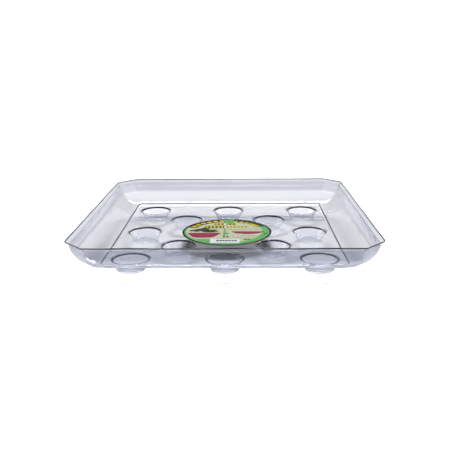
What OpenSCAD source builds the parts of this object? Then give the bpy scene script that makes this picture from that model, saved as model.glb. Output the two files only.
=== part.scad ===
// Square clear saucer tray, pressed from one plastic sheet, with thirteen hollow cup feet and a round sticker.
// Millimetres. The origin is the middle of the plane the feet stand on, +Z is up and -Y is the front.

/* [Tray] */
// Width and depth over the rim, both the same
rim_w = 305; // [296:1:320]
// Leg of the 45 degree cut at each corner of the rim
corner_cut = 21.5; // [17:0.5:28]
// Height of the rim above the floor
rim_h = 30.6; // [28:0.1:34]
// Thickness of the sheet
sheet = 1; // [0.6:0.1:1.4]

/* [Wall] */
// How far the flared lip stands out past the wall, and how tall it is
lip_w = 4; // [3:0.5:5]
// Radius of the cove that carries the floor up into the wall
cove_r = 26; // [22:0.5:27]
// Height of the small step round the floor
step_h = 3; // [2:0.1:4]
// How far the face of the step leans outwards
step_run = 1; // [0.5:0.1:1.5]
// Width of the flat ledge on top of the step
ledge_w = 1; // [0.6:0.1:2]

/* [Cup feet] */
// Depth of a foot below the floor, down to the plane it stands on
foot_h = 11.8; // [9:0.1:15]
// Radius of the mouth of a cup, at the floor
cup_mouth_r = 18.8; // [16:0.1:20]
// Radius of a cup at the foot plane, before its edge is rounded
cup_base_r = 15; // [12:0.1:15.5]
// Radius of the rounded bottom edge, inside the cup
cup_round = 3.5; // [2:0.1:4.5]
// Gap between the mouth of an outer cup and the step
cup_edge_gap = 5.5; // [4:0.1:8]
// Place of the four inner cups, as a share of the way out to the outer ones
inner_share = 0.532; // [0.5:0.001:0.56]

/* [Sticker] */
// Diameter of the round sticker
label_d = 104; // [90:1:106]
// Thickness of the adhesive under the sticker
glue_t = 0.05; // [0.04:0.01:0.08]
// Thickness of the printed sheet
face_t = 0.1; // [0.08:0.01:0.15]
// Thickness of the ink
ink_t = 0.03; // [0.02:0.01:0.05]
// Thickness of the clear film over the print
film_t = 0.05; // [0.04:0.01:0.08]
// Width of the dark line round the edge of the print
outline_w = 2.4; // [1:0.1:2.5]

/* [Hidden] */
$fn = 96;

rim_x = rim_w / 2;
// The diagonal sections are the straight ones moved out by this much, so the corners keep the same wall.
corner_shift = (rim_w - corner_cut) / sqrt(2) - rim_x;
cove_x = rim_x - lip_w - cove_r;
cove_z = step_h + cove_r;
floor_x = cove_x - ledge_w - step_run;
step_k = step_run / step_h;
step_n = sqrt(1 + step_k * step_k);
lip_low = rim_h - lip_w - 3;
// The underside of the lip stands out this much more on the cut corners.
corner_more = 0.06;

cup_k = (cup_mouth_r - cup_base_r) / foot_h;
cup_n = sqrt(1 + cup_k * cup_k);
round_z = sheet + cup_round - foot_h;
round_x = cup_base_r + (round_z + foot_h) * cup_k - cup_round * cup_n;
outer_at = floor_x - cup_mouth_r - cup_edge_gap;
inner_at = outer_at * inner_share;
CUPS = [for (i = [-1, 0, 1], j = [-1, 0, 1]) [i * outer_at, j * outer_at],
  for (i = [-1, 1], j = [-1, 1]) [i * inner_at, j * inner_at]];

label_r = min(label_d / 2, inner_at * sqrt(2) - cup_mouth_r - 1);
face_z = foot_h + glue_t;
ink_z = face_z + face_t;
film_z = ink_z + ink_t;

function step_at(z, t) = floor_x + z * step_k + t * step_n;
function lip_at(z, t) = rim_x - rim_h + z + t * sqrt(2);
function cup_at(z, t) = cup_base_r + (z + foot_h) * cup_k + t * cup_n;
function on_label(points) = [for (p = points) [p[0] * label_r, p[1] * label_r]];

// Half of the space inside the tray, grown outwards by t, and by u where the lip flares.
// Its floor is at zero and it is filled up to top.
module half_space_in(t, u, shift, top) {
  reach = min(rim_x + top - rim_h, lip_at(top, u));
  polygon([
    [-shift - 10, -t],
    [step_at(-t, t), -t],
    [step_at(step_h - t, t), step_h - t],
    [cove_x, step_h - t],
    [cove_x, top],
    [-shift - 10, top]]);
  intersection() {
    translate([cove_x, cove_z]) circle(r = cove_r + t);
    translate([cove_x - 5, step_h - t]) square([cove_r + t + 7, top - step_h + t]);
  }
  if (top > cove_z) {
    translate([cove_x - 5, cove_z]) square([cove_r + t + 5, top - cove_z]);
  }
  polygon([
    [cove_x, lip_low],
    [lip_at(lip_low, u), lip_low],
    [reach, lip_low + reach - lip_at(lip_low, u)],
    [reach, top],
    [cove_x, top]]);
}

// One straight band of the tray's inside, running in the direction of the angle.
module band(t, u, angle, shift, top) {
  rotate([0, 0, angle])
    rotate([90, 0, 0])
      linear_extrude(height = 2 * rim_w, center = true) {
        translate([shift, 0]) half_space_in(t, u, shift, top);
        mirror([1, 0]) translate([shift, 0]) half_space_in(t, u, shift, top);
      }
}

// The tray's inside as a solid: a square with its corners cut at 45 degrees.
module bowl(t, u, top) {
  intersection() {
    band(t, t, 0, 0, top);
    band(t, t, 90, 0, top);
    band(t, u, 45, corner_shift, top);
    band(t, u, 135, corner_shift, top);
  }
}

// A cup's inside grown by t, from its rounded bottom up to top.
module cup(t, top) {
  r = cup_round + t;
  rotate_extrude() {
    polygon([
      [0, top],
      [cup_at(top, t), top],
      [round_x + r / cup_n, round_z - r * cup_k / cup_n],
      [round_x, round_z - r],
      [0, round_z - r]]);
    translate([round_x, round_z]) circle(r = r);
  }
}

module tray() {
  color([0.82, 0.85, 0.9, 0.4])
    translate([0, 0, foot_h])
      difference() {
        union() {
          difference() {
            bowl(sheet, sheet + corner_more, rim_h);
            bowl(0, 0, rim_h + 2);
          }
          for (c = CUPS) translate([c[0], c[1], 0]) cup(sheet, -sheet / 2);
        }
        for (c = CUPS) translate([c[0], c[1], 0]) cup(0, 1);
      }
}

module label_adhesive() {
  color([0.9, 0.88, 0.78])
    translate([0, 0, foot_h])
      linear_extrude(height = glue_t) circle(r = label_r);
}

module label_face() {
  color([0.96, 0.96, 0.95])
    translate([0, 0, face_z])
      linear_extrude(height = face_t) circle(r = label_r);
}

module label_film() {
  color([0.95, 0.97, 1, 0.3])
    translate([0, 0, film_z])
      linear_extrude(height = film_t) circle(r = label_r);
}

// Flat shapes of the print. Each ink leaves out the ones printed before it, so no two of them overlap.
module inked() {
  translate([0, 0, ink_z])
    linear_extrude(height = ink_t) children();
}

module dot(angle, radius, size) {
  rotate(angle) translate([radius * label_r, 0]) circle(r = size * label_r, $fn = 24);
}

module block(x, y, w, h) {
  translate([(x - w / 2) * label_r, (y - h / 2) * label_r]) square([w * label_r, h * label_r]);
}

// A leaf is where two equal circles overlap. It grows from its own origin along +X.
module leaf(x, y, angle, length, fat) {
  r = length / 4 * (length / fat + fat / length);
  translate([x * label_r, y * label_r])
    rotate(angle)
      intersection() {
        translate([length / 2 * label_r, (r - fat / 2) * label_r]) circle(r = r * label_r);
        translate([length / 2 * label_r, (fat / 2 - r) * label_r]) circle(r = r * label_r);
      }
}

module sector(a0, a1, r0, r1) {
  n = 8;
  intersection() {
    difference() {
      circle(r = r1 * label_r);
      circle(r = r0 * label_r);
    }
    polygon(concat([[0, 0]], [for (i = [0:n]) 1.3 * label_r * [cos(a0 + (a1 - a0) * i / n),
      sin(a0 + (a1 - a0) * i / n)]]));
  }
}

module saucers_2d() {
  polygon(on_label([[-0.89, -0.11], [-0.106, -0.115], [-0.19, -0.26], [-0.27, -0.42], [-0.36, -0.47],
    [-0.5, -0.485], [-0.66, -0.48], [-0.75, -0.42], [-0.83, -0.26]]));
  polygon(on_label([[0.09, 0], [0.853, -0.005], [0.78, -0.1], [0.68, -0.18], [0.46, -0.215],
    [0.23, -0.18], [0.15, -0.1]]));
}

module blooms_2d() {
  for (a = [153, 142.5, 131.5, 120.5, 110, 99.5]) dot(a, 0.845, 0.06);
  for (a = [76, 66, 56.5, 48, 40, 32]) dot(a, 0.8, 0.052);
  for (x = [-0.25:0.09:0.2]) block(x, 0.57, 0.055, 0.1);
  for (x = [-0.46:0.085:0.48]) block(x, 0.34, 0.05, 0.13);
}

module maroon_2d() {
  sector(95.5, 161, 0.75, 0.97);
  block(-0.05, 0.57, 0.5, 0.14);
  block(-0.27, 0.34, 0.47, 0.19);
  block(0.24, 0.34, 0.5, 0.08);
  block(0.44, -0.59, 0.15, 0.06);
}

module leaves_2d() {
  sector(26, 80.5, 0.745, 0.97);
  leaf(-0.88, 0.05, 8, 0.52, 0.16);
  leaf(-0.85, 0, 28, 0.54, 0.16);
  leaf(-0.72, -0.04, 50, 0.5, 0.17);
  leaf(-0.52, -0.06, 84, 0.44, 0.15);
  leaf(-0.58, -0.04, 24, 0.42, 0.15);
  leaf(-0.56, -0.04, 4, 0.4, 0.12);
}

module marks_2d() {
  dot(-86, 0.19, 0.035);
  dot(-12, 0.88, 0.035);
  block(-0.06, -0.41, 0.04, 0.1);
  block(0.02, -0.41, 0.05, 0.1);
  for (x = [-0.19:0.065:0.2]) block(x, -0.68, 0.045, 0.1);
  for (x = [0.05:0.055:0.78]) block(x, 0.15, 0.028, 0.03);
  for (x = [0.26:0.055:0.84]) block(x, -0.34, 0.022, 0.03);
  for (x = [0.16:0.055:0.62]) block(x, -0.46, 0.022, 0.03);
}

module stem_2d() {
  polygon(on_label([[-0.085, -0.34], [-0.02, -0.34], [-0.03, 0.35], [-0.015, 0.96], [-0.065, 0.96],
    [-0.065, 0.35]]));
}

module white_2d() {
  block(-0.03, -0.7, 0.63, 0.28);
}

module rim_2d() {
  difference() {
    circle(r = label_r);
    circle(r = label_r - outline_w);
  }
}

module inside_2d() {
  circle(r = label_r - outline_w);
}

module field_2d() {
  difference() {
    translate([-0.06 * label_r, 0.03 * label_r]) circle(r = 0.86 * label_r);
    block(-0.6, -0.84, 0.5, 0.56);
    sector(79, 97, 0.66, 1.1);
  }
}

module label_ink_outline() {
  color([0.05, 0.1, 0.06]) inked() rim_2d();
}

module label_ink_black() {
  color([0.08, 0.08, 0.1])
    inked()
      difference() {
        marks_2d();
        saucers_2d();
        stem_2d();
      }
}

module label_ink_magenta() {
  color([0.68, 0.17, 0.38])
    inked()
      difference() {
        saucers_2d();
        stem_2d();
      }
}

module label_ink_yellow() {
  color([0.93, 0.87, 0.15])
    inked()
      difference() {
        blooms_2d();
        stem_2d();
      }
}

module label_ink_leaf() {
  color([0.15, 0.25, 0.16])
    inked()
      difference() {
        intersection() {
          leaves_2d();
          inside_2d();
        }
        saucers_2d();
        blooms_2d();
        stem_2d();
      }
}

module label_ink_maroon() {
  color([0.4, 0.14, 0.1])
    inked()
      difference() {
        intersection() {
          maroon_2d();
          inside_2d();
        }
        leaves_2d();
        blooms_2d();
        stem_2d();
      }
}

module label_ink_green() {
  color([0.45, 0.75, 0.42])
    inked()
      difference() {
        union() {
          difference() {
            inside_2d();
            field_2d();
          }
          stem_2d();
        }
        maroon_2d();
        blooms_2d();
        leaves_2d();
        marks_2d();
        white_2d();
        difference() {
          saucers_2d();
          stem_2d();
        }
      }
}

module label_ink_field() {
  color([0.87, 0.9, 0.8])
    inked()
      difference() {
        field_2d();
        saucers_2d();
        blooms_2d();
        maroon_2d();
        leaves_2d();
        marks_2d();
        stem_2d();
        white_2d();
      }
}

tray();
label_adhesive();
label_face();
label_ink_outline();
label_ink_green();
label_ink_field();
label_ink_maroon();
label_ink_yellow();
label_ink_leaf();
label_ink_magenta();
label_ink_black();
label_film();
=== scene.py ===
"""Looks of the square clear saucer tray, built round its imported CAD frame. Lengths are in millimetres
until they reach a mesh, and heights are above the top of the tray's floor."""

import math

import bmesh
import bpy
import numpy as np
from mathutils import Matrix, Vector
from mathutils.geometry import delaunay_2d_cdt


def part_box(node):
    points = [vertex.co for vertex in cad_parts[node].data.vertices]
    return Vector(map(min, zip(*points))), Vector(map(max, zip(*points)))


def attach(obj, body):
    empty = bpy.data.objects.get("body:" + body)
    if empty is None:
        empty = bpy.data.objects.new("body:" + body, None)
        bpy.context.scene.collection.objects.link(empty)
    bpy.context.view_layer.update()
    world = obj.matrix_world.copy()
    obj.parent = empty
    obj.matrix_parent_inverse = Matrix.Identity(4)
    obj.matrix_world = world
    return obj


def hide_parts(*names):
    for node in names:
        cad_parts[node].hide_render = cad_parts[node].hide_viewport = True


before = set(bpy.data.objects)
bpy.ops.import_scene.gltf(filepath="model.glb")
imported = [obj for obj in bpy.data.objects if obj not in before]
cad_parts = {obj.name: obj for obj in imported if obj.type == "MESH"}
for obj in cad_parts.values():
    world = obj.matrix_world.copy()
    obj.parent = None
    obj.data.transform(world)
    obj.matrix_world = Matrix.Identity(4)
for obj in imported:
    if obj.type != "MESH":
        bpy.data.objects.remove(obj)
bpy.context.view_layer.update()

tray_lo, tray_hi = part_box("tray")
label_lo, label_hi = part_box("label_adhesive")
film_lo, film_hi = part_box("label_film")

MM = 0.001

# sizes read from the frame
RIM = tray_hi.x / MM
FLOOR_Z = label_lo.z / MM
RIM_H = tray_hi.z / MM - FLOOR_Z
FOOT_H = FLOOR_Z
LABEL_R = label_hi.x / MM

# the sheet, its lip and the cove under the lip
SHEET = 1.0
CORNER_CUT = 21.5
LIP_W = 4.0
CREASE_R = 1.6
COVE_R = 26.0

# the step round the floor
STEP_H = 3.0
STEP_RUN = 1.0
LEDGE_W = 1.0
STEP_TOP_R = 1.0
STEP_FOOT_R = 0.7
STEP_MARGIN = 1.4

# the rounding of the corners of the tray's outline: small at the step and at the rim, larger in the
# wall, with the distances from the middle over which it changes
CORNER_R = 2.2
WALL_CORNER_R = 7.0
WALL_STARTS = (123, 131)
WALL_ENDS = (146, 151)

# the cups: one at each corner, at the middle of each side and at the centre, and four in between
CUP_MOUTH_R = 18.8
MOUTH_INSET = 0.6
MOUTH_ROUND = 1.2
MOUTH_MARGIN = 2.3
CUP_BASE_R = 13.2
BASE_ROUND = 3.0
CUP_HUB_R = 2.0
OUTER_AT = 96.2
INNER_AT = OUTER_AT * 0.532

# how far down the painted shade of the bend, a dark line at the step's upper edge and at a cup's mouth,
# reaches
STEP_LINE = 1.2
MOUTH_LINE = 1.7

# how far the pressed sheet is from flat in its floor and in its walls, and the distances from the
# middle over which that grows from nought
FLOOR_WAVE = 0.05
FLOOR_WAVE_GROWS = (LABEL_R + 1, LABEL_R + 14)
WALL_WAVE = 0.16
WALL_WAVE_GROWS = (118, 140)

# the film: its gap above the print, and how far in its lower and upper edges are
FILM_GAP = 0.004
FILM_LOWER_IN = 0.01
FILM_UPPER_IN = 0.03

# fineness of the meshes
MAX_TURN = math.radians(5)
SIDE_PARTS, CUT_PARTS, CORNER_PARTS = 44, 4, 6
CUP_PARTS = 96
FILM_PARTS = 192
FLOOR_PITCH = 5.5
ROW_PITCH = FLOOR_PITCH * 0.866
EDGE_MARGIN = 3
HOLE_MARGIN = 1.6
HOLE_SHARE = 0.9995
SHARP_ANGLE = math.radians(38)

# the tray's outline has eight corners, each of this turn
CORNER_TURN = math.radians(45)

# material slots of the tray: the plain sheet, then the bend, the cut edge and the lip's tip, which
# carry painted shade
SLOT_SHEET, SLOT_BEND, SLOT_CUT, SLOT_TIP = range(4)


# ---------------------------------------------------------------- sections

def turned(d):
    """The side that a sheet faces, up or inwards, when its section is walked from the rim inwards."""
    return np.array([d[1], -d[0]])


def line_points(a, b, longest):
    """Points and normals from a to b, with both ends."""
    a, b = np.array(a, float), np.array(b, float)
    length = np.linalg.norm(b - a)
    n = turned((b - a) / length)
    count = max(1, math.ceil(length / longest))
    return [(a + (b - a) * i / count, n) for i in range(count + 1)]


def arc_points(centre, r, a0, a1, facing):
    """Points and normals on an arc. facing is 1 where the sheet faces away from the arc's centre and -1
    where it faces the centre."""
    count = max(2, math.ceil(abs(a1 - a0) / MAX_TURN))
    out = []
    for i in range(count + 1):
        a = a0 + (a1 - a0) * i / count
        d = np.array([math.cos(a), math.sin(a)])
        out.append((np.array(centre) + d * r, d * facing))
    return out


def rounded(points, radii, longest):
    """A section through straight runs, with an arc of the given radius at each corner."""
    p = [np.array(q, float) for q in points]
    out, start = [], p[0]
    for i in range(1, len(p) - 1):
        d1 = (p[i] - p[i - 1]) / np.linalg.norm(p[i] - p[i - 1])
        d2 = (p[i + 1] - p[i]) / np.linalg.norm(p[i + 1] - p[i])
        turn = math.atan2(d1[0] * d2[1] - d1[1] * d2[0], float(d1 @ d2))
        reach = radii[i] * math.tan(abs(turn) / 2)
        t1, t2 = p[i] - d1 * reach, p[i] + d2 * reach
        # turning right bends towards the side that the sheet faces
        facing = -1 if turn < 0 else 1
        centre = t1 - turned(d1) * radii[i] * facing
        a0 = math.atan2(*(t1 - centre)[::-1])
        out += line_points(start, t1, longest)[:-1]
        out += arc_points(centre, radii[i], a0, a0 + turn, facing)[:-1]
        start = t2
    return out + line_points(start, p[-1], longest)


def part_slots(section, start, lowest):
    """The material slot of each part of a section: a bend from a start down to the lowest height."""
    return [
        SLOT_BEND if k >= start and section[k + 1][0][1] > lowest else SLOT_SHEET
        for k in range(len(section) - 1)
    ]


def lip_section():
    """The section from the lip's tip, down its slope, round the crease and down the cove."""
    tip = np.array([RIM, RIM_H])
    up = np.array([1.0, 1.0]) / math.sqrt(2)
    out = np.array([1.0, -1.0]) / math.sqrt(2)
    cove = np.array([RIM - LIP_W - COVE_R, STEP_H + COVE_R])
    # the crease's arc touches the lip's slope and the cove's arc
    w = tip + out * CREASE_R - cove
    slope = -(w @ up) + math.sqrt((w @ up) ** 2 - (w @ w - (COVE_R + CREASE_R) ** 2))
    crease = tip + out * CREASE_R + up * slope
    toward = cove - crease
    # seen from the crease's middle, the slope is up to the left
    a0, a1 = math.radians(135), math.atan2(toward[1], toward[0])
    if a1 < 0:
        a1 += 2 * math.pi
    section = line_points(tip, tip + up * slope, longest=1.5)[:-1]
    section += arc_points(crease, CREASE_R, a0, a1, 1)[:-1]
    return section + arc_points(cove, COVE_R, a1 - math.pi, -math.pi / 2, -1)[:-1]


def wall_section():
    """The tray's section from the lip's tip to the floor just inside the step, and its parts' slots."""
    section = lip_section()
    ledge = RIM - LIP_W - COVE_R
    step_top = ledge - LEDGE_W
    foot = step_top - STEP_RUN
    start = len(section)
    section += rounded(
        [(ledge, STEP_H), (step_top, STEP_H), (foot, 0), (foot - STEP_MARGIN, 0)],
        [0, STEP_TOP_R, STEP_FOOT_R, 0],
        longest=1.0,
    )
    slots = part_slots(section, start, STEP_H - STEP_LINE)
    # the lip's first strip takes the tip's painted shade
    slots[0] = SLOT_TIP
    return section, slots


def cup_section():
    """A cup's section from the flat floor round its mouth to near its axis, and its parts' slots."""
    slope = (CUP_MOUTH_R - CUP_BASE_R) / FOOT_H
    depth = FOOT_H - SHEET
    base = CUP_BASE_R + SHEET * slope
    section = rounded(
        [
            (CUP_MOUTH_R + MOUTH_MARGIN, 0),
            (CUP_MOUTH_R - MOUTH_INSET, 0),
            (base, -depth),
            (CUP_HUB_R, -depth),
        ],
        [0, MOUTH_ROUND, BASE_ROUND, 0],
        longest=0.9,
    )
    return section, part_slots(section, 1, -MOUTH_LINE)


# ---------------------------------------------------------------- tray mesh

def smooth(v, lo, hi):
    """Climbs smoothly from nought to one while v goes from lo to hi."""
    t = np.clip((v - lo) / (hi - lo), 0, 1)
    return float(t * t * (3 - 2 * t))


def ring(x):
    """The closed path round the tray on which the straight sides stand x from the middle."""
    in_wall = smooth(x, *WALL_STARTS) * (1 - smooth(x, *WALL_ENDS))
    corner_r = CORNER_R + (WALL_CORNER_R - CORNER_R) * in_wall
    c = CORNER_CUT - (2 - math.sqrt(2)) * (RIM - x)
    b = x - c
    corners = [(x, -b), (x, b), (b, x), (-b, x), (-x, b), (-x, -b), (-b, -x), (b, -x)]
    v = [np.array(q) for q in corners]
    reach = corner_r * math.tan(CORNER_TURN / 2)
    pts = []
    for k, (a, e) in enumerate(zip(v, v[1:] + v[:1])):
        d = (e - a) / np.linalg.norm(e - a)
        s, t = a + d * reach, e - d * reach
        n = SIDE_PARTS if k % 2 == 0 else CUT_PARTS
        pts += [s + (t - s) * i / n for i in range(n)]
        centre = t + np.array([-d[1], d[0]]) * corner_r
        a0 = math.atan2(*(t - centre)[::-1])
        for i in range(CORNER_PARTS):
            a1 = a0 + CORNER_TURN * i / CORNER_PARTS
            pts.append(centre + corner_r * np.array([math.cos(a1), math.sin(a1)]))
    return pts


def settle(x, y, z):
    """Moves a point a little, in slow waves of unlike lengths, as a pressed sheet is never quite flat.
    The floor under the sticker stays where it is."""
    flat = math.sin(x / 17 + 0.6) * math.sin(y / 23 + 1.1) + 0.6 * math.sin(x / 9.5 - y / 14)
    flat *= FLOOR_WAVE * smooth(math.hypot(x, y), *FLOOR_WAVE_GROWS)
    side_x = WALL_WAVE * smooth(abs(x), *WALL_WAVE_GROWS)
    side_y = WALL_WAVE * smooth(abs(y), *WALL_WAVE_GROWS)
    wave_x = math.sin(y / 15 + z / 9) + 0.6 * math.sin(y / 6.8 - z / 13 + 2)
    wave_y = math.sin(x / 14 + z / 10 + 1) + 0.6 * math.sin(x / 7.3 - z / 12)
    return (
        x + side_x * wave_x * math.copysign(1, x),
        y + side_y * wave_y * math.copysign(1, y),
        z + flat,
    )


def sheet_vert(bm, x, y, z):
    """A vertex of the pressed sheet."""
    x, y, z = settle(x, y, z)
    return bm.verts.new((x * MM, y * MM, (z + FLOOR_Z) * MM))


def bridge(bm, a, b, flip=False, slot=SLOT_SHEET):
    """Quads between two closed rings of vertices."""
    n = len(a)
    for i in range(n):
        f = [a[i], a[(i + 1) % n], b[(i + 1) % n], b[i]]
        bm.faces.new(f[::-1] if flip else f).material_index = slot


def mesh_object(bm, name):
    """An object in the scene from a bmesh, which is freed."""
    mesh = bpy.data.meshes.new(name)
    bm.to_mesh(mesh)
    bm.free()
    obj = bpy.data.objects.new(name, mesh)
    bpy.context.scene.collection.objects.link(obj)
    return obj


def circle(r, parts, cx=0.0, cy=0.0):
    """Points on a circle."""
    turns = [2 * math.pi * i / parts for i in range(parts)]
    return [(cx + r * math.cos(a), cy + r * math.sin(a)) for a in turns]


def cup_centres():
    """The middles of the thirteen cups."""
    outer = [(i * OUTER_AT, j * OUTER_AT) for i in (-1, 0, 1) for j in (-1, 0, 1)]
    return outer + [(i * INNER_AT, j * INNER_AT) for i in (-1, 1) for j in (-1, 1)]


def floor_triangles(outline, cups, hole_r):
    """Points and triangles of the flat floor inside an outline, with a round hole for each cup. The
    outline's points come first, then those round each hole, then a grid of even triangles."""

    def cup_distance(x, y):
        return min(math.hypot(x - cx, y - cy) for cx, cy in cups)

    points = [Vector(q) for q in outline]
    loops = [list(range(len(points)))]
    for cx, cy in cups:
        loops.append(list(range(len(points), len(points) + CUP_PARTS)))
        points += [Vector(q) for q in circle(hole_r, CUP_PARTS, cx, cy)]
    edge = outline[0][0] - EDGE_MARGIN
    rows, columns = int(edge / ROW_PITCH), int(edge / FLOOR_PITCH) + 1
    for j in range(-rows, rows + 1):
        y = j * ROW_PITCH
        for i in range(-columns, columns + 1):
            x = (i + 0.5 * (j % 2)) * FLOOR_PITCH
            if abs(x) < edge and abs(y) < edge and cup_distance(x, y) > hole_r + HOLE_MARGIN:
                points.append(Vector((x, y)))
    edges = [(loop[i], loop[(i + 1) % len(loop)]) for loop in loops for i in range(len(loop))]
    found, _, triangles, _, _, _ = delaunay_2d_cdt(points, edges, [], 1, 1e-6)
    if len(found) != len(points):
        raise SystemExit("the floor's triangulation added points")
    kept = []
    for t in triangles:
        middle = sum((found[i] for i in t), Vector((0, 0))) / len(t)
        # a triangle that closes a hole has its middle inside the hole
        if cup_distance(middle.x, middle.y) > hole_r * HOLE_SHARE:
            kept.append(t)
    return found, kept


def join_rings(bm, rings, slots, lower):
    """Joins each ring to the next. The lower face of the sheet is plain sheet all over."""
    for a, b, slot in zip(rings, rings[1:], slots):
        bridge(bm, a, b, lower, SLOT_SHEET if lower else slot)


def add_wall(bm, wall, slots, depth, lower):
    """The wall on one face of the sheet. Gives back the rings at its rim and at its foot."""
    rings = []
    for p, n in wall:
        q = p - n * depth
        if q[0] > RIM:
            # the lip's end is cut upright at the rim
            q = q - np.array([1.0, 1.0]) * (q[0] - RIM)
        rings.append([sheet_vert(bm, x, y, q[1]) for x, y in ring(q[0])])
    join_rings(bm, rings, slots, lower)
    return rings[0], rings[-1]


def add_cup(bm, cup, slots, centre, depth, lower):
    """One cup on one face of the sheet. Gives back the ring round its mouth."""
    rings = []
    for p, n in cup:
        r, z = p - n * depth
        rings.append([sheet_vert(bm, x, y, z) for x, y in circle(r, CUP_PARTS, *centre)])
    join_rings(bm, rings, slots, lower)
    hub = sheet_vert(bm, *centre, cup[-1][0][1] - depth)
    last = rings[-1]
    for a, b in zip(last, last[1:] + last[:1]):
        bm.faces.new((hub, b, a) if lower else (a, b, hub))
    return rings[0]


def build_tray():
    """The pressed sheet as one closed skin: upper face, lower face and the cut edge at the rim."""
    bm = bmesh.new()
    wall, wall_slots = wall_section()
    cup, cup_slots = cup_section()
    cups = cup_centres()
    foot_at, mouth_r = wall[-1][0][0], cup[0][0][0]
    floor_points, floor_tris = floor_triangles(ring(foot_at), cups, mouth_r)
    rims = []
    for lower in (False, True):
        depth = SHEET if lower else 0.0
        rim, floor = add_wall(bm, wall, wall_slots, depth, lower)
        rims.append(rim)
        for centre in cups:
            floor = floor + add_cup(bm, cup, cup_slots, centre, depth, lower)
        floor = floor + [sheet_vert(bm, c.x, c.y, -depth) for c in floor_points[len(floor):]]
        for tri in floor_tris:
            f = [floor[i] for i in tri]
            bm.faces.new(f[::-1] if lower else f)
    bridge(bm, *rims, True, SLOT_CUT)
    bmesh.ops.recalc_face_normals(bm, faces=bm.faces)
    obj = mesh_object(bm, "clear_tray")
    mesh = obj.data
    mesh.polygons.foreach_set("use_smooth", [True] * len(mesh.polygons))
    mesh.set_sharp_from_angle(angle=SHARP_ANGLE)
    return obj


def build_film():
    """The clear film over the print, a hair above it, with a soft edge."""
    bm = bmesh.new()
    lo, hi = film_lo.z / MM, film_hi.z / MM
    profile = [(LABEL_R - FILM_LOWER_IN, lo + FILM_GAP), (LABEL_R, (lo + hi) / 2)]
    profile += [(LABEL_R - FILM_UPPER_IN, hi)] + [(LABEL_R * share, hi) for share in (0.7, 0.4, 0.1)]
    rings = []
    for r, z in profile:
        rings.append([bm.verts.new((x * MM, y * MM, z * MM)) for x, y in circle(r, FILM_PARTS)])
    for a, b in zip(rings, rings[1:]):
        bridge(bm, a, b)
    bm.faces.new(rings[-1])
    bm.faces.new(rings[0][::-1])
    bmesh.ops.recalc_face_normals(bm, faces=bm.faces)
    return mesh_object(bm, "clear_film")


# ---------------------------------------------------------------- node helpers

def new_material(name):
    """An empty material and its node tree."""
    m = bpy.data.materials.new(name)
    m.use_nodes = True
    m.node_tree.nodes.clear()
    return m, m.node_tree


def node(nt, kind, **settings):
    """A new node. A setting is one of its own values or, with _ for a space, one of its inputs."""
    n = nt.nodes.new(kind)
    for k, v in settings.items():
        if hasattr(n, k):
            setattr(n, k, v)
        else:
            n.inputs[k.replace("_", " ")].default_value = v
    return n


def math_node(nt, op, *values, clamp=False):
    """The result of an operation on numbers and sockets."""
    n = node(nt, "ShaderNodeMath", operation=op, use_clamp=clamp)
    for i, v in enumerate(values):
        if isinstance(v, (int, float)):
            n.inputs[i].default_value = v
        else:
            nt.links.new(v, n.inputs[i])
    return n.outputs[0]


def product(nt, *parts):
    """The product of sockets."""
    total = parts[0]
    for part in parts[1:]:
        total = math_node(nt, "MULTIPLY", total, part)
    return total


def map_node(nt, value, **limits):
    """A value carried from one range to another in a straight line."""
    n = node(nt, "ShaderNodeMapRange", **limits)
    nt.links.new(value, n.inputs["Value"])
    return n.outputs[0]


def ramp_node(nt, value, lo, hi, a, b):
    """A smooth change from a to b while the value goes from lo to hi."""
    return map_node(
        nt, value, interpolation_type="SMOOTHSTEP", From_Min=lo, From_Max=hi, To_Min=a, To_Max=b
    )


def blend(nt, share, a, b):
    """Colour a where the share is nought and b where it is one."""
    n = node(nt, "ShaderNodeMix", data_type="RGBA")
    for i, c in ((6, a), (7, b)):
        if isinstance(c, tuple):
            n.inputs[i].default_value = (*c, 1)
        else:
            nt.links.new(c, n.inputs[i])
    nt.links.new(share, n.inputs[0])
    return n.outputs[2]


def mix_shaders(nt, share, a, b):
    """Shader a where the share is nought and b where it is one."""
    n = node(nt, "ShaderNodeMixShader")
    for i, socket in enumerate((share, a, b)):
        nt.links.new(socket, n.inputs[i])
    return n.outputs[0]


def noise(nt, scale, detail, roughness=0.5):
    """Noise in the object's own space."""
    coord = node(nt, "ShaderNodeTexCoord")
    n = node(nt, "ShaderNodeTexNoise", Scale=scale, Detail=detail, Roughness=roughness)
    nt.links.new(coord.outputs["Object"], n.inputs["Vector"])
    return n.outputs["Fac"]


def bump_node(nt, height, strength, distance):
    """A normal roughened by a height."""
    n = node(nt, "ShaderNodeBump", Strength=strength, Distance=distance)
    nt.links.new(height, n.inputs["Height"])
    return n.outputs[0]


def surface(nt, shader):
    """The material's output, with its surface linked."""
    out = node(nt, "ShaderNodeOutputMaterial")
    nt.links.new(shader, out.inputs["Surface"])
    return out


def face_on(nt):
    """How squarely a face is seen from either of its sides: one face on and nought edge on."""
    geo = node(nt, "ShaderNodeNewGeometry")
    dot = node(nt, "ShaderNodeVectorMath", operation="DOT_PRODUCT")
    nt.links.new(geo.outputs["Incoming"], dot.inputs[0])
    nt.links.new(geo.outputs["Normal"], dot.inputs[1])
    return math_node(nt, "ABSOLUTE", dot.outputs["Value"])


def schlick(nt, base):
    """The share of light that a face turns back, the same from both of its sides, by Schlick's rule."""
    graze = math_node(nt, "POWER", math_node(nt, "SUBTRACT", 1.0, face_on(nt), clamp=True), 5.0)
    return math_node(nt, "MULTIPLY_ADD", graze, 1 - base, base)


# ---------------------------------------------------------------- clear sheet

# the floor's two tints, blended by its haze, and the cups' tint, with the heights of the change
HAZE_TINTS = (0.92, 0.93, 0.985), (0.955, 0.96, 0.995)
CUP_TINT = (0.90, 0.905, 0.945)
CUP_TO_FLOOR = (-4, -1)

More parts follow.
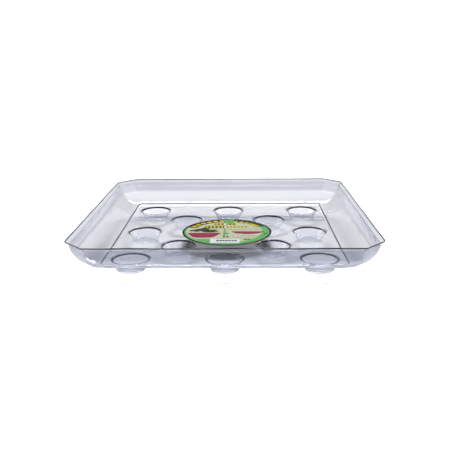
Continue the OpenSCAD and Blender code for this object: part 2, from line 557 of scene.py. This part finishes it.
# the tints up the wall, each where it is seen face on and where it is seen from a slant
COVE_TINTS = (0.83, 0.835, 0.885), (0.69, 0.695, 0.755)
WALL_TINTS = (0.57, 0.58, 0.65), (0.64, 0.65, 0.72)
LIP_TINT = (0.70, 0.71, 0.78)
FLOOR_TO_COVE = (2, 4)
COVE_TO_WALL = (13.5, 17.5)
WALL_TO_LIP = (26.5, 27.5)
SLANT_TO_FACE_ON = (0.35, 0.8)

# a tight bend turns light along the sheet, so it looks dark. That darkness is painted shade: a dark
# matt colour mixed over the clear shader on the outside of the sheet, at the bends, the cut edge and
# the lip's tip. Each look gives the colour of the painted shade, the range of face_on over which it
# changes, and how much of it there is at each end of the range
BEND_PAINTED_SHADE = {"colour": (0.08, 0.07, 0.12), "seen": (0.29, 0.38), "share": (0.0, 0.8)}
CUT_PAINTED_SHADE = {"colour": (0.16, 0.16, 0.21), "seen": (0.29, 0.38), "share": (0.0, 0.4)}
TIP_PAINTED_SHADE = {"colour": (0.08, 0.075, 0.12), "seen": (0.42, 0.6), "share": (0.75, 0.0)}

# what is left of light that goes straight through a face, and the plastic's own absorption
STRAIGHT_TINT = (0.95, 0.96, 0.985, 1)
ABSORB_TINT = (0.40, 0.46, 0.62, 1)
ABSORB_DENSITY = 25.0


def sheet_tint(nt, haze):
    """The sheet's tint by height: nearly clear in the floor and deeper up the wall."""
    coord = node(nt, "ShaderNodeTexCoord")
    height = node(nt, "ShaderNodeSeparateXYZ")
    nt.links.new(coord.outputs["Object"], height.inputs[0])
    slant = ramp_node(nt, face_on(nt), *SLANT_TO_FACE_ON, 1.0, 0.0)

    def change(heights, below, above):
        lo, hi = [(FLOOR_Z + h) * MM for h in heights]
        return blend(nt, ramp_node(nt, height.outputs["Z"], lo, hi, 0.0, 1.0), below, above)

    tint = change(CUP_TO_FLOOR, CUP_TINT, blend(nt, haze, *HAZE_TINTS))
    tint = change(FLOOR_TO_COVE, tint, blend(nt, slant, *COVE_TINTS))
    tint = change(COVE_TO_WALL, tint, blend(nt, slant, *WALL_TINTS))
    return change(WALL_TO_LIP, tint, LIP_TINT)


def with_painted_shade(nt, clear, dark):
    """The clear shader, going over to painted shade, a dark matt colour, on the outside of the sheet,
    as the dark look says.
    """
    share = ramp_node(nt, face_on(nt), *dark["seen"], *dark["share"])
    geo = node(nt, "ShaderNodeNewGeometry")
    outside = math_node(nt, "SUBTRACT", 1.0, geo.outputs["Backfacing"])
    # the painted shade: a dark matt colour in place of the light that the sheet turns away
    shadow = node(nt, "ShaderNodeBsdfDiffuse", Color=(*dark["colour"], 1))
    return mix_shaders(nt, math_node(nt, "MULTIPLY", share, outside), clear, shadow.outputs[0])


def straight_through(nt):
    """A shader that lets rays pass unbent, dimmed more where they graze the face."""
    left = math_node(nt, "SUBTRACT", 1.0, schlick(nt, base=0.04), clamp=True)
    shade = node(nt, "ShaderNodeMix", data_type="RGBA", blend_type="MULTIPLY")
    shade.inputs[0].default_value = 1.0
    shade.inputs[6].default_value = STRAIGHT_TINT
    nt.links.new(left, shade.inputs[7])
    through = node(nt, "ShaderNodeBsdfTransparent")
    nt.links.new(shade.outputs[2], through.inputs["Color"])
    return through.outputs[0]


def clear_plastic(name, dark=None):
    """Clear sheet, with one of the dark looks of painted shade if it is given. The rays that light
    other things pass straight through it, because bent ones would leave the shadows full of noise."""
    m, nt = new_material(name)
    link = nt.links.new
    haze = noise(nt, scale=26.0, detail=5.0, roughness=0.6)
    ripple = noise(nt, scale=55.0, detail=2.0)
    rough = map_node(nt, haze, From_Min=0.35, From_Max=0.75, To_Min=0.012, To_Max=0.05)
    glass = node(nt, "ShaderNodeBsdfPrincipled", IOR=1.5, Transmission_Weight=1.0)
    link(sheet_tint(nt, haze), glass.inputs["Base Color"])
    link(rough, glass.inputs["Roughness"])
    link(bump_node(nt, ripple, strength=0.08, distance=0.001), glass.inputs["Normal"])
    seen = glass.outputs[0]
    if dark:
        seen = with_painted_shade(nt, seen, dark)
    path = node(nt, "ShaderNodeLightPath")
    straight = math_node(nt, "MAXIMUM", path.outputs["Is Shadow Ray"], path.outputs["Is Diffuse Ray"])
    out = surface(nt, mix_shaders(nt, straight, seen, straight_through(nt)))
    absorb = node(nt, "ShaderNodeVolumeAbsorption", Density=ABSORB_DENSITY, Color=ABSORB_TINT)
    link(absorb.outputs[0], out.inputs["Volume"])
    return m


# ---------------------------------------------------------------- sticker

# for each of the sticker's nodes: its material's name, two close colours and their blotches' scale
PRINT = {
    "label_adhesive": ("adhesive_grey", (0.20, 0.20, 0.19), (0.27, 0.27, 0.25), 300),
    "label_face": ("face_white", (0.60, 0.60, 0.63), (0.52, 0.53, 0.56), 500),
    "label_ink_outline": ("outline_dark", (0.001, 0.003, 0.002), (0.002, 0.008, 0.003), 400),
    "label_ink_green": ("green_print", (0.07, 0.27, 0.07), (0.12, 0.34, 0.10), 260),
    "label_ink_field": ("field_print", (0.30, 0.36, 0.22), (0.48, 0.48, 0.35), 220),
    "label_ink_maroon": ("maroon_print", (0.06, 0.007, 0.004), (0.012, 0.016, 0.004), 220),
    "label_ink_yellow": ("yellow_print", (0.66, 0.55, 0.005), (0.36, 0.22, 0.003), 240),
    "label_ink_leaf": ("leaf_print", (0.004, 0.010, 0.005), (0.02, 0.05, 0.012), 220),
    "label_ink_magenta": ("magenta_print", (0.19, 0.006, 0.040), (0.26, 0.016, 0.066), 200),
    "label_ink_black": ("black_print", (0.004, 0.004, 0.006), (0.015, 0.015, 0.015), 400),
}

# how much of the film's gloss is seen
FILM_SHINE = 0.12


def ink(name, colour, other, scale):
    """Print: two close colours in fine blotches, uneven and grained, and matt under its film."""
    m, nt = new_material(name)
    link = nt.links.new
    blotch = noise(nt, scale, detail=4.0, roughness=0.65)
    spread = map_node(nt, blotch, From_Min=0.3, From_Max=0.7)
    shader = node(nt, "ShaderNodeBsdfPrincipled", Specular_IOR_Level=0.0)
    link(blend(nt, spread, colour, other), shader.inputs["Base Color"])
    link(map_node(nt, blotch, To_Min=0.32, To_Max=0.47), shader.inputs["Roughness"])
    link(bump_node(nt, blotch, strength=0.1, distance=0.0001), shader.inputs["Normal"])
    surface(nt, shader.outputs[0])
    return m


def film_material():
    """Clear film with a faint, slightly wavy gloss."""
    m, nt = new_material("clear_film")
    wave = noise(nt, scale=60.0, detail=3.0)
    clear = node(nt, "ShaderNodeBsdfTransparent", Color=(0.985, 0.99, 0.985, 1))
    gloss = node(nt, "ShaderNodeBsdfGlossy")
    nt.links.new(map_node(nt, wave, To_Min=0.06, To_Max=0.16), gloss.inputs["Roughness"])
    nt.links.new(bump_node(nt, wave, strength=0.15, distance=0.0003), gloss.inputs["Normal"])
    shine = math_node(nt, "MULTIPLY", schlick(nt, base=0.03), FILM_SHINE)
    surface(nt, mix_shaders(nt, shine, clear.outputs[0], gloss.outputs[0]))
    return m


# ---------------------------------------------------------------- pieces

def place(obj, replaced):
    """Lets a piece ride the body in place of a CAD node."""
    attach(obj, "root")
    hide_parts(replaced)


# the tray's materials, in the order of its slots, each with the painted shade of its dark look, if any
TRAY_LOOKS = {"clear_sheet": None, "clear_bend": BEND_PAINTED_SHADE, "clear_cut": CUT_PAINTED_SHADE, "clear_tip": TIP_PAINTED_SHADE}

tray = build_tray()
for material_name, dark in TRAY_LOOKS.items():
    tray.data.materials.append(clear_plastic(material_name, dark))
place(tray, "tray")

film = build_film()
film.data.materials.append(film_material())
place(film, "label_film")

for node_name, print_look in PRINT.items():
    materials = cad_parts[node_name].data.materials
    materials.clear()
    materials.append(ink(*print_look))


# ---------------------------------------------------------------- stage

# the floor: its half width in metres, its gap under the feet, and its own light and greys
FLOOR_HALF = 12
FLOOR_GAP = 0.1
FLOOR_GLOW = 0.6
FLOOR_GREYS = (0.80, 0.80, 0.80), (0.82, 0.82, 0.82)

# the two windows of the studio, by direction from the object: up is 1 overhead, and depth is 1 straight
# behind it and -1 straight in front. Bottom, top, sides and depth are soft edges, each from where it
# starts to where it ends, and share is how much of the window there is at the two ends of its depth
BACK_WINDOW = {
    "strength": 115.0,
    "bottom": (0.42, 0.48),
    "top": (0.52, 0.62),
    "sides": (0.08, 0.36),
    "depth": (0.2, 0.4),
    "share": (0.0, 1.0),
}
FRONT_WINDOW = {
    "strength": 2.2,
    "bottom": (0.20, 0.30),
    "top": (0.36, 0.48),
    "sides": (0.05, 0.2),
    "depth": (-0.5, 0.0),
    "share": (1.0, 0.0),
}

# the rest of the studio: the grey low at the back, the faint light overhead, the little that comes from
# everywhere, and the white that the camera sees
LOW_GREY = 0.65
LOW_GREY_DEPTH = (-0.1, 0.4)
LOW_GREY_TOP = (0.32, 0.42)
OVERHEAD = 0.1
OVERHEAD_FROM = (0.65, 0.95)
FILL = 0.035
SEEN_WHITE = 1.1

# the two lights at the sides: where the right one stands and how large they are, in metres, and their
# power
SIDE_AT = (1.1, 0.1, 0.55)
SIDE_SIZE = (0.5, 0.9)
SIDE_POWER = 2

# the camera: where it stands, in millimetres from the middle of the floor's top, and how it is turned
CAMERA_AT = (16.485, -675.37, 205.86)
CAMERA_PITCH, CAMERA_YAW, CAMERA_ROLL = 0.2851, -0.0276, -0.0104
CAMERA_LENS = 48.28
CAMERA_SENSOR = 36.0


def build_floor():
    """A pale floor, with a little light of its own where the camera sees it."""
    m, nt = new_material("pale_floor")
    diffuse = node(nt, "ShaderNodeBsdfDiffuse")
    nt.links.new(blend(nt, noise(nt, scale=8.0, detail=3.0), *FLOOR_GREYS), diffuse.inputs["Color"])
    path = node(nt, "ShaderNodeLightPath")
    glow = node(nt, "ShaderNodeEmission")
    strength = math_node(nt, "MULTIPLY", path.outputs["Is Camera Ray"], FLOOR_GLOW)
    nt.links.new(strength, glow.inputs["Strength"])
    both = node(nt, "ShaderNodeAddShader")
    nt.links.new(diffuse.outputs[0], both.inputs[0])
    nt.links.new(glow.outputs[0], both.inputs[1])
    surface(nt, both.outputs[0])
    bm = bmesh.new()
    bmesh.ops.create_grid(bm, x_segments=8, y_segments=8, size=FLOOR_HALF)
    floor = mesh_object(bm, "floor")
    floor.data.materials.append(m)
    floor.location.z = tray_lo.z - FLOOR_GAP * MM


def window(nt, look, side, back, up):
    """A soft-edged bright patch of the studio."""
    return product(
        nt,
        ramp_node(nt, up, *look["bottom"], 0.0, look["strength"]),
        ramp_node(nt, up, *look["top"], 1.0, 0.0),
        ramp_node(nt, math_node(nt, "ABSOLUTE", side), *look["sides"], 1.0, 0.0),
        ramp_node(nt, back, *look["depth"], *look["share"]),
    )


def studio_light(nt):
    """The strength of the light from each direction."""
    coord = node(nt, "ShaderNodeTexCoord")
    split = node(nt, "ShaderNodeSeparateXYZ")
    nt.links.new(coord.outputs["Generated"], split.inputs[0])
    side, back, up = split.outputs["X"], split.outputs["Y"], split.outputs["Z"]
    behind = ramp_node(nt, back, *LOW_GREY_DEPTH, 0.0, LOW_GREY)
    total = math_node(nt, "MULTIPLY_ADD", behind, ramp_node(nt, up, *LOW_GREY_TOP, 1.0, 0.0), FILL)
    overhead = ramp_node(nt, up, *OVERHEAD_FROM, 0.0, OVERHEAD)
    windows = [window(nt, look, side, back, up) for look in (BACK_WINDOW, FRONT_WINDOW)]
    for part in (overhead, *windows):
        total = math_node(nt, "ADD", total, part)
    return total


def build_world():
    """White where the camera sees it, and the studio's own light for everything else."""
    world = bpy.data.worlds.new("studio")
    bpy.context.scene.world = world
    world.use_nodes = True
    nt = world.node_tree
    nt.nodes.clear()
    soft = node(nt, "ShaderNodeBackground", Color=(1, 1, 1, 1))
    nt.links.new(studio_light(nt), soft.inputs["Strength"])
    white = node(nt, "ShaderNodeBackground", Color=(1, 1, 1, 1), Strength=SEEN_WHITE)
    path = node(nt, "ShaderNodeLightPath")
    out = node(nt, "ShaderNodeOutputWorld")
    seen = mix_shaders(nt, path.outputs["Is Camera Ray"], soft.outputs[0], white.outputs[0])
    nt.links.new(seen, out.inputs["Surface"])


def side_light(name, side):
    """A soft light to the left (-1) or to the right (1), turned towards the middle."""
    data = bpy.data.lights.new(name, "AREA")
    data.shape = "RECTANGLE"
    data.size, data.size_y = SIDE_SIZE
    data.energy = SIDE_POWER
    o = bpy.data.objects.new(name, data)
    o.location = (side * SIDE_AT[0], SIDE_AT[1], SIDE_AT[2])
    o.rotation_mode = "QUATERNION"
    o.rotation_quaternion = (-o.location).to_track_quat("-Z", "Y")
    bpy.context.scene.collection.objects.link(o)


def build_camera():
    """The camera stands in front, a little to the right, and looks down by about sixteen degrees."""
    data = bpy.data.cameras.new("camera")
    data.lens = CAMERA_LENS
    data.sensor_width = CAMERA_SENSOR
    data.clip_start, data.clip_end = 0.01, 50
    o = bpy.data.objects.new("camera", data)
    bpy.context.scene.collection.objects.link(o)
    pitch, yaw, roll = CAMERA_PITCH, CAMERA_YAW, CAMERA_ROLL
    ahead = Vector((math.sin(yaw) * math.cos(pitch), math.cos(yaw) * math.cos(pitch), -math.sin(pitch)))
    right = Vector((math.cos(yaw), -math.sin(yaw), 0))
    up = right.cross(ahead)
    rolled_right = right * math.cos(roll) + up * math.sin(roll)
    rolled_up = up * math.cos(roll) - right * math.sin(roll)
    turn = Matrix((rolled_right, rolled_up, -ahead)).transposed().to_4x4()
    x, y, z = CAMERA_AT
    o.matrix_world = Matrix.Translation(Vector((x, y, z + FLOOR_Z)) * MM) @ turn
    bpy.context.scene.camera = o


build_floor()
build_world()
side_light("side_left", -1)
side_light("side_right", 1)
build_camera()
bpy.context.scene.view_settings.view_transform = "Standard"
